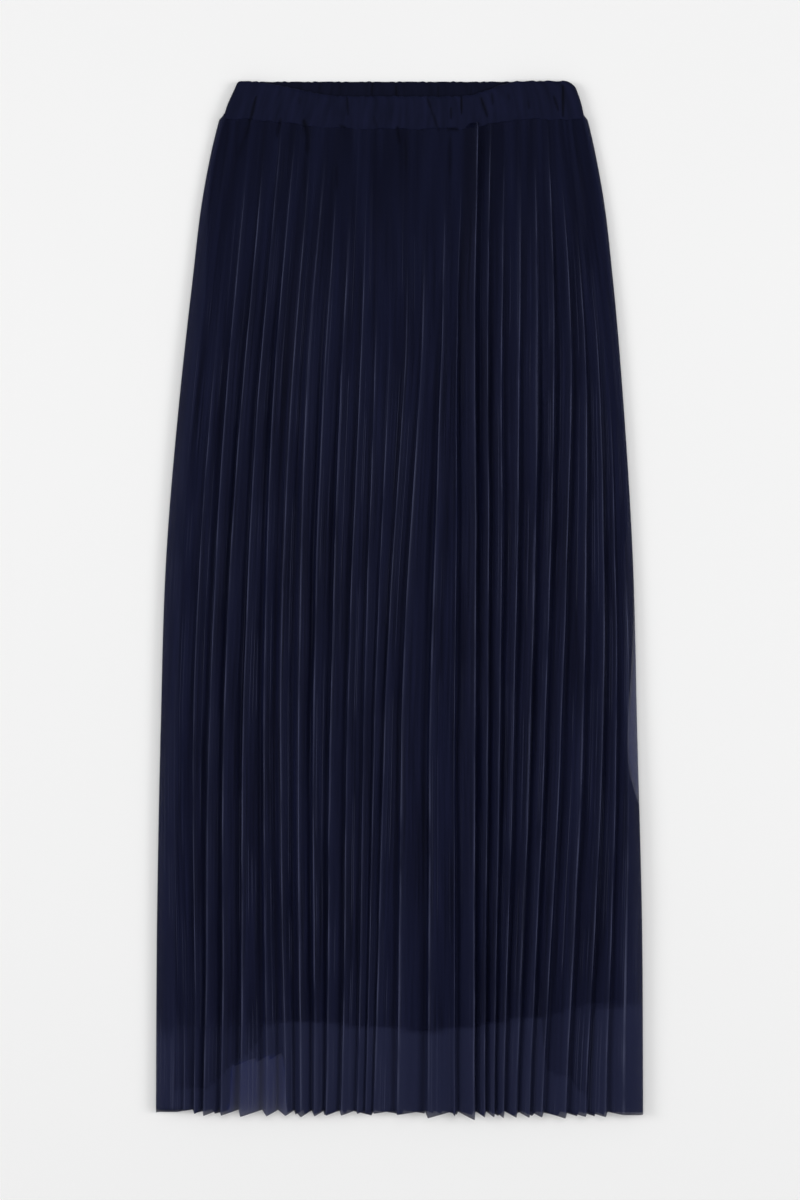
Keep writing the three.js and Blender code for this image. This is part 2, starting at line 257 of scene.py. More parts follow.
LEFT_AT = curve_through(OUTLINE, "down", "left")
RIGHT_AT = curve_through(OUTLINE, "down", "right")
LINING_AT = {side: line_through(LINING_HEM, "across", side) for side in ("front", "back")}
LINING_IN = {side: line_through(LINING_SIDES, "down", side) for side in ("left", "right")}
Track = namedtuple("Track", "down across")
FOLD_AT = [
    curve_through(
        [Track(down, getattr(pleat, level)) for level, down in LEVELS.items()], "down", "across"
    )
    for pleat in PLEATS
]


def dip_at(x):
    """Share of the front's dip at x."""
    return smoothstep(DIP["from"], DIP["flat_from"], x) * (
        1 - smoothstep(DIP["flat_to"], DIP["to"], x)
    )


def band_foot(side, x):
    return BAND_HEIGHT + ((FRONT_DIP - BAND_EASE) * dip_at(x) if side == "front" else 0 * x)


def hem_at(x):
    return np.interp(x, [LEFT_AT(LENGTH), RIGHT_AT(LENGTH)], [HEM["left"], HEM["right"]])


def crease_at(x, down, rows):
    """How deep the creases are at places across and down the skirt."""
    deep = np.zeros(np.broadcast(x, down).shape)
    for row in rows:
        run, fall = row.x1 - row.x0, row.down1 - row.down0
        along = ((x - row.x0) * run + (down - row.down0) * fall) / (run**2 + fall**2)
        along = np.clip(along, 0, 1)
        off = np.hypot(x - row.x0 - along * run, down - row.down0 - along * fall)
        width = row.width * (0.5 + 0.5 * np.sin(np.pi * along))
        deep = np.maximum(deep, row.depth * np.exp(-((off / width) ** 2)))
    return deep


def ripple(x, down, pitch):
    """Slow irregular ripples across the skirt, from -1 to 1, about pitch apart."""
    turn = math.tau / pitch
    return (
        np.sin(turn * x + 1.7 * np.sin(turn * x * 0.37 + 0.5) + down / 19)
        + 0.6 * np.sin(turn * 0.618 * x - down / 27 + 2.1)
    ) / 1.6


def ride_up_at(x):
    low, high, ramp = RIDE_UP["from"], RIDE_UP["to"], RIDE_UP["ramp"]
    within = smoothstep(low, low + ramp, x) * (1 - smoothstep(high - ramp, high, x))
    along = np.clip((x - low) / (high - low), 0, 1)
    return within * (RIDE_UP["rise"] + RIDE_UP["extra"] * along)


def formed_at(down):
    """Share of a pleat's whole depth at a distance down the skirt."""
    return mix(DEPTH_AT_WAIST, 1, smoothstep(LEVELS["waist"], FORMED, down))


def layers_at(down):
    """Height above the table of the middle of each layer's cloth, at a distance down."""
    back_top = LAYER + BACK_PLEAT * formed_at(down)
    lining_back = back_top + GAP + LAYER / 2
    lining_front = lining_back + LAYER + GAP
    return {
        "pleats_back": back_top - LAYER / 2,
        "lining_back": lining_back,
        "lining_front": lining_front,
        "pleats_front": lining_front + LAYER + GAP,
    }


# Helpers


def linear(hex_colour):
    """An sRGB hex colour as linear red, green and blue."""
    channels = [int(hex_colour[i : i + 2], 16) / 255 for i in (1, 3, 5)]
    return [c / 12.92 if c <= 0.04045 else ((c + 0.055) / 1.055) ** 2.4 for c in channels]


def scaled(colour, share):
    """A darker colour: the same, times a share."""
    red, green, blue, alpha = colour
    return red * share, green * share, blue * share, alpha


def add_node(tree, kind, inputs=None, **settings):
    """Adds a node, with its settings and with values, sockets or nodes for its inputs."""
    node = tree.nodes.new(kind)
    for name, value in settings.items():
        setattr(node, name, value)
    for key, value in (inputs or {}).items():
        if isinstance(value, bpy.types.Node):
            value = next(socket for socket in value.outputs if socket.enabled)
        if isinstance(value, bpy.types.NodeSocket):
            tree.links.new(value, node.inputs[key])
        else:
            node.inputs[key].default_value = value
    return node


def grid_mesh(name, x, y, z, uv, numbers=None, close=False):
    """A mesh over rows of points in millimetres, with its cloth's UV map in metres, and with
    named numbers on its points. close joins the last column to the first."""
    rows, columns = x.shape
    points = np.stack([x, y, z], axis=-1).reshape(-1, 3) * MM
    wide = columns if close else columns - 1
    r, c = np.mgrid[0 : rows - 1, 0:wide]
    right = (c + 1) % columns
    a, b = r * columns + c, r * columns + right
    faces = np.stack([a, a + columns, b + columns, b], axis=-1).reshape(-1, 4)
    mesh = bpy.data.meshes.new(name)
    mesh.from_pydata(points, [], faces.tolist())
    layer = mesh.uv_layers.new(name="cloth")
    corner = np.empty(len(mesh.loops), dtype=np.int32)
    mesh.loops.foreach_get("vertex_index", corner)
    flat = np.stack(uv, axis=-1).reshape(-1, 2) * MM
    layer.data.foreach_set("uv", flat[corner].astype(np.float32).ravel())
    for key, value in (numbers or {}).items():
        attribute = mesh.attributes.new(key, "FLOAT", "POINT")
        whole = np.broadcast_to(value, x.shape).astype(np.float32)
        attribute.data.foreach_set("value", whole.ravel())
    mesh.shade_smooth()
    mesh.update()
    obj = bpy.data.objects.new(name, mesh)
    bpy.context.collection.objects.link(obj)
    return obj


def grown(obj, tree, values):
    """Runs a node tree on an object, with values for its named inputs, and keeps the plain
    mesh that comes out."""
    modifier = obj.modifiers.new("grow", "NODES")
    modifier.node_group = tree
    for item in tree.interface.items_tree:
        if item.in_out == "INPUT" and item.name in values:
            modifier[item.identifier] = values[item.name]
    graph = bpy.context.evaluated_depsgraph_get()
    mesh = bpy.data.meshes.new_from_object(
        obj.evaluated_get(graph), preserve_all_data_layers=True, depsgraph=graph
    )
    obj.modifiers.remove(modifier)
    mesh.name = obj.name
    obj.data = mesh
    return obj


def thicken(obj, thickness):
    """Gives a sheet of cloth its wall, half of it on each side."""
    wall = obj.modifiers.new("cloth thickness", "SOLIDIFY")
    wall.thickness = thickness
    wall.offset = 0
    return obj


def new_tree(name, inputs):
    """An empty node tree for a mesh: the tree, what adds a node to it, and its inputs."""
    tree = bpy.data.node_groups.new(name, "GeometryNodeTree")
    tree.interface.new_socket("Geometry", in_out="OUTPUT", socket_type="NodeSocketGeometry")
    for socket, kind in {"Geometry": "NodeSocketGeometry", **inputs}.items():
        tree.interface.new_socket(socket, in_out="INPUT", socket_type=kind)
    add = partial(add_node, tree)
    return tree, add, add("NodeGroupInput").outputs


def finish_tree(add, shape, cloth):
    """Ends a tree: its instances are made real, smooth and of their cloth."""
    real = add("GeometryNodeRealizeInstances", {"Geometry": shape})
    smooth = add("GeometryNodeSetShadeSmooth", {"Geometry": real})
    dressed = add("GeometryNodeSetMaterial", {"Geometry": smooth, "Material": cloth})
    add("NodeGroupOutput", {0: dressed})


# Geometry Nodes

# What the points of a pleated panel carry for the rule that folds it.
POINT_NUMBERS = "across fold depth valley pressed crease lying seam roll down hem gather".split()
# How far a pleat has sunk on the way in from its outer fold, between 0, 0 and 1, 1.
PLEAT_SECTION = [(0.1, 0.035), (0.3, 0.2), (0.6, 0.54), (0.88, 0.9)]


def pleating_tree():
    """Folds a flat panel into pleats.

    The panel's points carry what the rule needs: across, 0 on an outer fold and 1 on the inner
    fold beside it; fold, the number of the nearest outer fold; depth, that fold's share of a
    full pleat; valley, the share of that depth that the inner fold has; down, how far down the
    skirt they are; lying, the height of the inner folds; seam and roll, for the sides; gather,
    1 just below the waistband; crease, how deep a crease is; hem, 1 at an outer fold of the
    hem; and pressed, how strongly the folds' painted highlight and shade show there. It also
    stores that painted highlight and shade.
    hem; and pressed, how sharp the folds are there."""
    numbers = (
        "Pleat Depth", "Pressed Flat", "Unevenness", "Uneven Over", "Drift", "Gather Depth",
        "Gather Width", "Crease Depth", "Fold Line", "Hem Tooth", "Seed",
    )
    others = {"Drift Over": "NodeSocketVector", "Cloth": "NodeSocketMaterial"}
    tree, add, ask = new_tree("Pleating", dict.fromkeys(numbers, "NodeSocketFloat") | others)
    across, fold, depth, valley, pressed, crease, lying, seam, roll, down, hem, gather = (
        add("GeometryNodeInputNamedAttribute", {"Name": name}, data_type="FLOAT")
        for name in POINT_NUMBERS
    )

    # A pleat's section, from what is pressed flat at its outer fold in to its inner fold.
    inward = add("ShaderNodeMapRange", {"Value": across, "From Min": ask["Pressed Flat"]})
    section = add("ShaderNodeFloatCurve", {"Value": inward})
    for point in PLEAT_SECTION:
        section.mapping.curves[0].points.new(*point)
    section.mapping.update()
    sunk = add("ShaderNodeMath", {0: section, 1: valley}, operation="MULTIPLY")
    raised = add("ShaderNodeMath", {0: 1.0, 1: sunk}, operation="SUBTRACT")

    # Each fold is deeper and shallower along its length.
    noise = {"W": ask["Seed"], "Scale": 1.0, "Detail": 1.0}
    place = add("ShaderNodeCombineXYZ", {"X": fold, "Y": down})
    stretch = add("ShaderNodeCombineXYZ", {"X": 1 / 3.7, "Y": ask["Uneven Over"], "Z": 1.0})
    uneven_at = add("ShaderNodeVectorMath", {0: place, 1: stretch}, operation="DIVIDE")
    uneven = add("ShaderNodeTexNoise", {**noise, "Vector": uneven_at}, noise_dimensions="4D")
    swing = add("ShaderNodeMath", {0: uneven, 1: 2.0, 2: -1.0}, operation="MULTIPLY_ADD")
    change = add("ShaderNodeMath", {0: swing, 1: ask["Unevenness"], 2: 1.0}, operation="MULTIPLY_ADD")
    share = add("ShaderNodeMath", {0: change, 1: depth}, operation="MULTIPLY")
    tall = add("ShaderNodeMath", {0: share, 1: raised}, operation="MULTIPLY")
    risen = add("ShaderNodeMath", {0: tall, 1: ask["Pleat Depth"], 2: lying}, operation="MULTIPLY_ADD")

    # Small gathers where the cloth is drawn in below the waistband.
    position = add("GeometryNodeInputPosition")
    parts = add("ShaderNodeSeparateXYZ", {"Vector": position})
    gather_x = add(
        "ShaderNodeMath", {0: parts.outputs["X"], 1: ask["Gather Width"]}, operation="DIVIDE"
    )
    gather_y = add("ShaderNodeMath", {0: down, 1: 14.0}, operation="MULTIPLY")
    gather_at = add("ShaderNodeCombineXYZ", {"X": gather_x, "Y": gather_y})
    ruffle = add("ShaderNodeTexNoise", {**noise, "Vector": gather_at}, noise_dimensions="4D")
    above = add("ShaderNodeMath", {0: ruffle, 1: 0.3}, operation="SUBTRACT")
    gathered = add("ShaderNodeMath", {0: above, 1: gather}, operation="MULTIPLY")
    puffed = add(
        "ShaderNodeMath", {0: gathered, 1: ask["Gather Depth"], 2: risen}, operation="MULTIPLY_ADD"
    )
    drawn_in = add("ShaderNodeMath", {0: crease, 1: ask["Crease Depth"]}, operation="MULTIPLY")
    height = add("ShaderNodeMath", {0: puffed, 1: drawn_in}, operation="SUBTRACT")
    rolled = add("ShaderNodeMix", {"Factor": roll, "A": seam, "B": height}, data_type="FLOAT")

    # The folds drift a little from side to side, neighbours together.
    drift_at = add("ShaderNodeVectorMath", {0: position, 1: ask["Drift Over"]}, operation="DIVIDE")
    drift = add(
        "ShaderNodeTexNoise", {**noise, "Vector": drift_at, "Detail": 4.0}, noise_dimensions="4D"
    )
    either_way = add("ShaderNodeMath", {0: drift, 1: 0.5}, operation="SUBTRACT")
    held = add("ShaderNodeMath", {0: either_way, 1: roll}, operation="MULTIPLY")
    aside = add(
        "ShaderNodeMath", {0: held, 1: ask["Drift"], 2: parts.outputs["X"]}, operation="MULTIPLY_ADD"
    )

    # The outer folds reach further down at the hem.
    tooth = add("ShaderNodeMath", {0: share, 1: hem}, operation="MULTIPLY")
    lower = add("ShaderNodeMath", {0: tooth, 1: ask["Hem Tooth"]}, operation="MULTIPLY")
    reach = add("ShaderNodeMath", {0: parts.outputs["Y"], 1: lower}, operation="SUBTRACT")
    moved = add("ShaderNodeCombineXYZ", {"X": aside, "Y": reach, "Z": rolled})
    folded = add("GeometryNodeSetPosition", {"Geometry": ask["Geometry"], "Position": moved})

    # Painted highlight: how light the pressed outer folds are drawn, here and there along them.
    broken_at = add("ShaderNodeVectorMath", {0: place, 1: (5.3, 20.0, 0.0)}, operation="MULTIPLY")
    other_seed = add("ShaderNodeMath", {0: ask["Seed"], 1: 11.0}, operation="ADD")
    noise |= {"Vector": broken_at, "W": other_seed, "Detail": 2.0}
    broken = add("ShaderNodeTexNoise", noise, noise_dimensions="4D")
    patches = add(
        "ShaderNodeMapRange",
        {"Value": broken, "From Min": 0.36, "From Max": 0.66, "To Min": 0.05, "To Max": 1.25},
    )
    line = add("ShaderNodeMapRange", {"Value": across, "From Min": ask["Fold Line"], "From Max": 0.0})
    glow = add(
        "ShaderNodeMapRange", {"Value": across, "From Min": 0.35, "From Max": 0.0, "To Max": 0.08}
    )
    lit = add("ShaderNodeMath", {0: line, 1: patches, 2: glow}, operation="MULTIPLY_ADD")
    light = add("ShaderNodeMath", {0: lit, 1: pressed}, operation="MULTIPLY")

    # Painted shade: how dark the inner folds and the creases are drawn.
    inner = add(
        "ShaderNodeMapRange", {"Value": across, "From Min": 0.66, "From Max": 0.92, "To Max": 0.8}
    )
    hollow_shade = add("ShaderNodeMath", {0: inner, 1: valley}, operation="MULTIPLY")
    sharp = add("ShaderNodeMath", {0: hollow_shade, 1: pressed}, operation="MULTIPLY")
    slit = add("ShaderNodeMath", {0: crease, 1: 2.0}, operation="MULTIPLY")
    shade = add("ShaderNodeMath", {0: sharp, 1: slit}, operation="MAXIMUM")

    marked = folded
    for name, value in (("light", light), ("shade", shade)):
        marked = add(
            "GeometryNodeStoreNamedAttribute",
            {"Geometry": marked, "Name": name, "Value": value},
            data_type="FLOAT",
            domain="POINT",
        )
    finish_tree(add, marked, ask["Cloth"])
    return tree


def stitching_tree():
    """Lays stitches end to end along a line of points."""
    tree, add, ask = new_tree(
        "Stitching",
        {
            "Stitch Pitch": "NodeSocketFloat",
            "Stitch Length": "NodeSocketFloat",
            "Thread": "NodeSocketFloat",
            "Cloth": "NodeSocketMaterial",
        },
    )
    line = add("GeometryNodeMeshToCurve", {"Mesh": ask["Geometry"]})
    steps = add(
        "GeometryNodeResampleCurve", {"Curve": line, "Length": ask["Stitch Pitch"]}, mode="LENGTH"
    )
    ball = add("GeometryNodeMeshUVSphere", {"Segments": 6, "Rings": 4, "Radius": 0.5})
    size = add(
        "ShaderNodeCombineXYZ", {"X": ask["Thread"], "Y": ask["Thread"], "Z": ask["Stitch Length"]}
    )
    stitch = add("GeometryNodeTransform", {"Geometry": ball, "Scale": size})
    tangent = add("GeometryNodeInputTangent")
    turn = add("FunctionNodeAlignRotationToVector", {"Vector": tangent}, axis="Z")
    many = add("GeometryNodeInstanceOnPoints", {"Points": steps, "Instance": stitch, "Rotation": turn})
    finish_tree(add, many, ask["Cloth"])
    return tree


# Materials


def new_material(name):
    """An empty material, and what adds a node to it."""
    material = bpy.data.materials.new(name)
    material.use_nodes = True
    material.node_tree.nodes.clear()
    return material, partial(add_node, material.node_tree)


def finish_material(add, inputs):
    """Ends a material with its shader."""
    shader = add("ShaderNodeBsdfPrincipled", inputs)
    add("ShaderNodeOutputMaterial", {"Surface": shader})


def finish_cloth(add, colour, rough, specular, threads, grain, sheen, cover=1.0):
    """Ends a cloth's material: its threads and grain stand out, and it covers that share of
    what lies behind it."""
    both = add("ShaderNodeMath", {0: threads, 1: grain}, operation="ADD")
    bump = add("ShaderNodeBump", {"Height": both, "Strength": 0.3, "Distance": 0.5 * MM})
    finish_material(
        add,
        {
            "Base Color": colour,
            "Roughness": rough,
            "Normal": bump,
            "Alpha": cover,
            "Specular IOR Level": specular,
            "Sheen Weight": 0.02,
            "Sheen Roughness": 0.5,
            "Sheen Tint": sheen,
        },
    )


def noise_on(add, place, across, along, detail, low, high, start=0.0, stop=1.0):
    """Noise on a piece's cloth, of a size in metres across and along, drawn out to a range."""
    at = add("ShaderNodeMapping", {"Vector": place, "Scale": (1 / across, 1 / along, 1)})
    noise = add("ShaderNodeTexNoise", {"Vector": at, "Scale": 1.0, "Detail": detail})
    return add(
        "ShaderNodeMapRange",
        {"Value": noise, "From Min": low, "From Max": high, "To Min": start, "To Max": stop},
    )


def sheer_mesh(colours):
    """Polyester mesh, warp-knitted and pleated with heat: matt navy threads with air between
    them, so that it darkens what lies behind it, and pressed folds that catch the light. Its
    colour holds painted highlights on the folds, painted shade in the hollows and creases, and
    painted light where the table shines up through it."""
    material, add = new_material("warp-knitted polyester mesh, heat-pleated")
    uv = add("ShaderNodeUVMap", uv_map="cloth")
    bare, light, shade = (
        add("ShaderNodeAttribute", attribute_name=name).outputs["Fac"]
        for name in ("bare", "light", "shade")
    )
    # Threads drawn thick and thin: streaks 1.6 mm across and 110 mm long.
    streak = noise_on(add, uv, 1.6 * MM, 110 * MM, 2.0, 0.38, 0.68)
    # The pleats differ in tone from one to the next.
    tone = noise_on(add, uv, 17 * MM, 170 * MM, 1.0, 0.36, 0.64, 0.0, 0.45)
    # The mesh's holes are 0.5 mm apart. They are drawn 1.3 mm apart, to show at all.
    hole_at = add("ShaderNodeMapping", {"Vector": uv, "Scale": (770, 770, 1)})
    holes = add(
        "ShaderNodeTexVoronoi",
        {"Vector": hole_at, "Scale": 1.0, "Randomness": 0.55},
        voronoi_dimensions="2D",
    )
    # Painted glints of lone threads that catch the light, here and there, 0.5 mm wide.
    thread = noise_on(add, uv, 1.0 * MM, 9, 0.0, 0.6, 0.7)
    some = noise_on(add, uv, 24 * MM, 90 * MM, 1.0, 0.44, 0.56, 0.0, 0.5)
    hairline = add("ShaderNodeMath", {0: thread, 1: some}, operation="MULTIPLY")
    # Near the waist the cloth is smooth.
    down = add("ShaderNodeSeparateXYZ", {"Vector": uv}).outputs["Y"]
    fade = add(
        "ShaderNodeMapRange", {"Value": down, "From Min": 0.06, "From Max": 0.26, "To Min": 0.15}
    )
    streak = add("ShaderNodeMath", {0: streak, 1: fade}, operation="MULTIPLY")
    hairline = add("ShaderNodeMath", {0: hairline, 1: fade}, operation="MULTIPLY")
    # Painted light, beside what the mesh really lets through: where no lining lies behind it, light
    # from the table comes up through the mesh, and most of all where it is the only layer.
    alone = add("ShaderNodeMapRange", {"Value": bare, "From Min": 0.8})
    # Painted highlight on the folds and lone threads, and painted shade in the inner folds and
    # creases.
    bright = add("ShaderNodeMath", {0: light, 1: hairline}, operation="MAXIMUM")
    dark = add("ShaderNodeMath", {0: shade, 1: 0.5}, operation="MULTIPLY")
    colour = colours.mesh_deep
    for share, other in (
        (streak, colours.mesh),
        (tone, colours.mesh_light),
        (bare, colours.mesh_backlit),
        (alone, colours.mesh_backlit_alone),
        (bright, colours.mesh_highlight),
        (dark, colours.mesh_painted_shade),
    ):
        colour = add("ShaderNodeMix", {"Factor": share, 6: colour, 7: other}, data_type="RGBA")
    rough = add("ShaderNodeMapRange", {"Value": streak, "To Min": 0.62, "To Max": 0.5})
    grain = add("ShaderNodeMath", {0: holes, 1: 0.4}, operation="MULTIPLY")
    finish_cloth(add, colour, rough, 0.05, streak, grain, colours.mesh_highlight, 0.66)
    return material


def woven_cloth(name, deep, light, rough, specular):
    """Plain-woven polyester: fine threads both ways, an even matt face and faint streaks."""
    material, add = new_material(name)
    uv = add("ShaderNodeUVMap", uv_map="cloth")
    shade = add("ShaderNodeAttribute", attribute_name="shade").outputs["Fac"]
    # Threads are 0.25 mm apart. They are drawn 1 mm apart, to show at all.
    thread_at = add("ShaderNodeMapping", {"Vector": uv, "Scale": (1000, 1000, 1)})
    warp, weft = (
        add(
            "ShaderNodeTexWave",
            {"Vector": thread_at, "Scale": 0.31, "Distortion": 1.2, "Detail": 1.0},
            bands_direction=way,
        )
        for way in "XY"
    )
    weave = add("ShaderNodeMath", {0: warp, 1: weft}, operation="MAXIMUM")
    # Threads thicker in places: streaks 6 mm across and 45 mm long.
    slub_at = add("ShaderNodeMapping", {"Vector": uv, "Scale": (160, 22, 1)})
    slub = add("ShaderNodeTexNoise", {"Vector": slub_at, "Scale": 1.0, "Detail": 3.0})
    toned = add("ShaderNodeMapRange", {"Value": slub, "From Min": 0.3, "From Max": 0.7})
    even = add("ShaderNodeMix", {"Factor": toned, 6: deep, 7: light}, data_type="RGBA")
    # Painted shade in the creases and inside the waistband, from their shade numbers.
    dark = add("ShaderNodeMath", {0: shade, 1: 0.8}, operation="MULTIPLY")
    hollow_shade = scaled(deep, 0.25)
    crease_shaded = add("ShaderNodeMix", {"Factor": dark, 6: even, 7: hollow_shade}, data_type="RGBA")
    dull = add("ShaderNodeMapRange", {"Value": slub, "To Min": rough + 0.08, "To Max": rough - 0.08})
    grain = add("ShaderNodeMath", {0: weave, 1: 0.3}, operation="MULTIPLY")
    finish_cloth(add, crease_shaded, dull, specular, slub, grain, light)
    return material


def mottled(name, deep, light, scale, rough, specular):
    """A matt stuff with a faint mottle."""
    material, add = new_material(name)
    place = add("ShaderNodeTexCoord").outputs["Object"]
    noise = add("ShaderNodeTexNoise", {"Vector": place, "Scale": scale, "Detail": 2.0})
    colour = add("ShaderNodeMix", {"Factor": noise, 6: deep, 7: light}, data_type="RGBA")
    finish_material(add, {"Base Color": colour, "Roughness": rough, "Specular IOR Level": specular})
    return material


def sewing_thread(colours):
    """Spun polyester sewing thread: matt, with a fuzz about 1 mm long."""
    name = "spun polyester sewing thread"
    return mottled(name, colours.lining, colours.thread, 900.0, 0.7, 0.2)


def matt_paper(colour):
    """Matt paper background: pale and even."""
    return mottled("matt white background paper", scaled(colour, 0.985), colour, 3.0, 0.95, 0.1)


def material_once(name, make, *given):
    """The named material of this scene, made on its first use."""
    kept = bpy.context.scene.get("skirt_materials", {})
    if name in kept:
        return bpy.data.materials[kept[name]]
    material = make(*given)
    bpy.context.scene["skirt_materials"] = {**dict(kept), name: material.name}
    return material


# Settings


def length_property(name, description, millimetres):
    return bpy.props.FloatProperty(
        name=name, description=description, default=millimetres * MM, unit="LENGTH"
    )


def share_property(name, description, share):
    return bpy.props.FloatProperty(name=name, description=description, default=share, subtype="FACTOR")


def colour_property(name, description, hex_colour):
    return bpy.props.FloatVectorProperty(
        name=name,
        description=description,
        default=(*linear(hex_colour), 1),
        subtype="COLOR",
        size=4,
        min=0,
        max=1,
    )


class SkirtPleats(bpy.types.PropertyGroup):
    front_depth: length_property("Front depth", "Height of the front's pleats, fold to fold", 5)
    back_depth: length_property(
        "Back depth", "Height of the back's pleats, which lie pressed on the table", BACK_PLEAT
    )
    back_pressed: share_property(
        "Back pressed flat", "Share of each of the back's pleats that lies flat on the table", 0.45
    )
    unevenness: share_property("Unevenness", "How much the depth of a pleat changes along it", 0.45)
    uneven_over: length_property("Uneven over", "Length over which a pleat's depth changes", 130)
    drift: length_property("Drift", "How far the folds stray sideways", 5)
    gather_depth: length_property("Gather depth", "Height of the gathers below the waistband", 2.4)
    crease_depth: length_property("Crease depth", "Depth of the creases just below the waistband", 0.8)
    hem_tooth: length_property(
        "Hem tooth", "How much further down an outer fold reaches at the hem", 4.6
    )
    seed: bpy.props.FloatProperty(name="Seed", description="Picks the folds' unevenness", default=3.0)


class SkirtCloth(bpy.types.PropertyGroup):
    mesh_wall: length_property("Mesh thickness", "Thickness of the pleated mesh", 0.35)
    lining_wall: length_property("Lining thickness", "Thickness of the lining", 0.4)
    band_wall: length_property("Waistband cloth", "Thickness of the waistband's cloth", 0.5)
    pucker: length_property("Pucker", "Height of the puckers between the waistband's creases", 0.8)


class SkirtColours(bpy.types.PropertyGroup):
    mesh: colour_property("Mesh", "Colour of the pleated mesh", "#151833")
    mesh_deep: colour_property("Mesh, deep", "Its darker streaks", "#0a0d21")
    mesh_light: colour_property("Mesh, light", "Its lighter areas", "#181c38")
    # Painted highlight on the pressed outer folds and lone threads, and the tint of the sheen.
    mesh_highlight: colour_property("Mesh, folds", "Its pressed outer folds", "#464a64")
    # Painted shade in the inner folds and creases.
    mesh_painted_shade: colour_property("Mesh, hollows", "Its inner folds and creases", "#06081a")
    # Painted light where the table's light comes up through the mesh, lighter still where it is one
    # layer.
    mesh_backlit: colour_property("Mesh, unlined", "Where light comes through it", "#272b47")
    mesh_backlit_alone: colour_property("Mesh, alone", "Where only one layer lies on the table", "#20264e")
    lining: colour_property("Lining", "Colour of the lining", "#0b0d1c")
    lining_light: colour_property("Lining, light", "Its lighter streaks", "#12152a")
    band: colour_property("Waistband", "Colour of the waistband", "#0d1023")
    band_light: colour_property("Waistband, light", "Its lighter streaks", "#13162e")
    thread: colour_property("Thread", "Colour of the sewing thread", "#1c2038")
    paper: colour_property("Background", "Colour of the background paper", "#f7f7f7")


# Pieces

# Points on each pleat, as shares of the way down its wide face, and up the steep one.
WIDE_FACE = np.array([0, 0.035, 0.08, 0.17, 0.29, 0.42, 0.55, 0.68, 0.81, 0.92, 1])
STEEP_FACE = np.array([0.3, 0.62, 0.9])
EDGE_COLUMNS = 11
HEM_FROM = 0.955  # share of the way down a panel where its hem's teeth begin
RIDE_FROM = 0.6  # the same for the back, where it begins to ride up
GATHERED = {"from": 0.008, "to": 0.13}  # the same for the gathers
# A fold's depth, from above its start to its whole depth below, and how far from its start
# its painted highlight and shade are fainter.
GROWING = {"least": 0.12, "above": 30, "below": 230, "sharp": 45}
SEAM_IN = 0.3  # how far inside the outline a panel's sides lie
FOOT_IN = 0.1  # how far under the waistband's foot a panel begins
LOWEST = 0.22  # least height of the middle of the back's cloth above the table
CLOSED_BY = 10  # how far below the waist the layers still lie closer than on the table
# Height of each layer inside the waistband, and where it meets the side seams.
SLOT = {"pleats_back": 1.4, "lining_back": 2.3, "lining_front": 5.4, "pleats_front": 7.2}
SEAM_SPREAD = {"pleats_back": -0.6, "lining_back": -0.2, "lining_front": 0.2, "pleats_front": 0.6}


def panel_rows():
    """The rows of a panel: how far each is from the waistband's foot to the hem, and, for the
    first ones, how far up inside the waistband."""
    shares = np.concatenate(
        [
            np.linspace(0, 0.07, 18),
            np.linspace(0.07, 0.86, 57)[1:],
            np.linspace(0.86, 0.985, 27)[1:],
            np.linspace(0.985, 1, 5)[1:],
        ]
    )
    return [(0.0, tucked) for tucked in (1, 0.55, 0.15)] + [(share, 0.0) for share in shares]


def seam_height(layer, down):
    """Height at which a layer meets the others in the side seams."""
    layers = layers_at(down)
    middle = (layers["lining_back"] + layers["lining_front"]) / 2
    return min(middle, SEAM_Z) + SEAM_SPREAD[layer]


def closed_at(down, tucked):
    """1 where the layers are sewn together, falling to 0 just below the waistband."""
    return max(tucked, 1 - smoothstep(0, CLOSED_BY, down - LEVELS["waist"]))


def roll_at(x, left, right):
    """1 where a panel lies flat, falling to 0 at its side seams."""
    aside = np.clip(np.minimum(x - left, right - x) / ROLL, 0, 1)
    return np.sqrt(1 - (1 - aside) ** 2)


def lining_sides(down):
    """The left and right sides of the linings at a distance down."""
    return LEFT_AT(down) + LINING_IN["left"](down), RIGHT_AT(down) - LINING_IN["right"](down)


def sliver_at(down):
    """How far the back mesh has crept in from the right side at a distance down."""
    along = np.clip((down - SLIVER["from"]) / (SLIVER["to"] - SLIVER["from"]), 0, 1)
    return SLIVER["width"] * np.sin(np.pi * along ** SLIVER["lopsided"]) ** 0.6


# How far the linings' edges are blurred as the mesh shows them: their sides, their hems, and
# the front one's hem at the left, where what lies behind it blurs it more.
BLUR = {"side": 0.6, "hem": 1.2, "left_hem": 14, "from": -130, "to": -110}
# Share of the table's light that comes up beside the linings and below one or both.
THROUGH = {"beside": 0.25, "one": 0.3, "both": 0.7}


def bareness_at(side, x, down):
    """How much of the table's light comes up through the mesh: 0 over two linings and 1
    where the other mesh is missing too."""
    left, right = lining_sides(down)
    past_left = smoothstep(left + BLUR["side"], left - BLUR["side"], x)
    past_right = smoothstep(right - BLUR["side"], right + BLUR["side"], x)
    beside = np.maximum(past_left, past_right)
    from_left = smoothstep(BLUR["from"], BLUR["to"], x)
    blurs = {"front": mix(BLUR["left_hem"], BLUR["hem"], from_left), "back": BLUR["hem"]}
    below = {
        each: smoothstep(LINING_AT[each](x) - blur, LINING_AT[each](x) + blur, down)
        for each, blur in blurs.items()
    }
    no_back = np.maximum(below["back"], beside)
    under = below["front"] * mix(THROUGH["one"], THROUGH["both"], no_back)
    bare = np.maximum(THROUGH["beside"] * beside, under)
    if side == "back":
        return bare
    risen = hem_at(x) - ride_up_at(x)
    single = smoothstep(risen - 1, risen + 1, down) * (ride_up_at(x) > 3)
    edge = RIGHT_AT(down) - sliver_at(down)
    crept = smoothstep(edge - 0.5, edge + 0.5, x) * (sliver_at(down) > 0.5)
    single = np.maximum(single, crept)
    return np.maximum(bare, single)


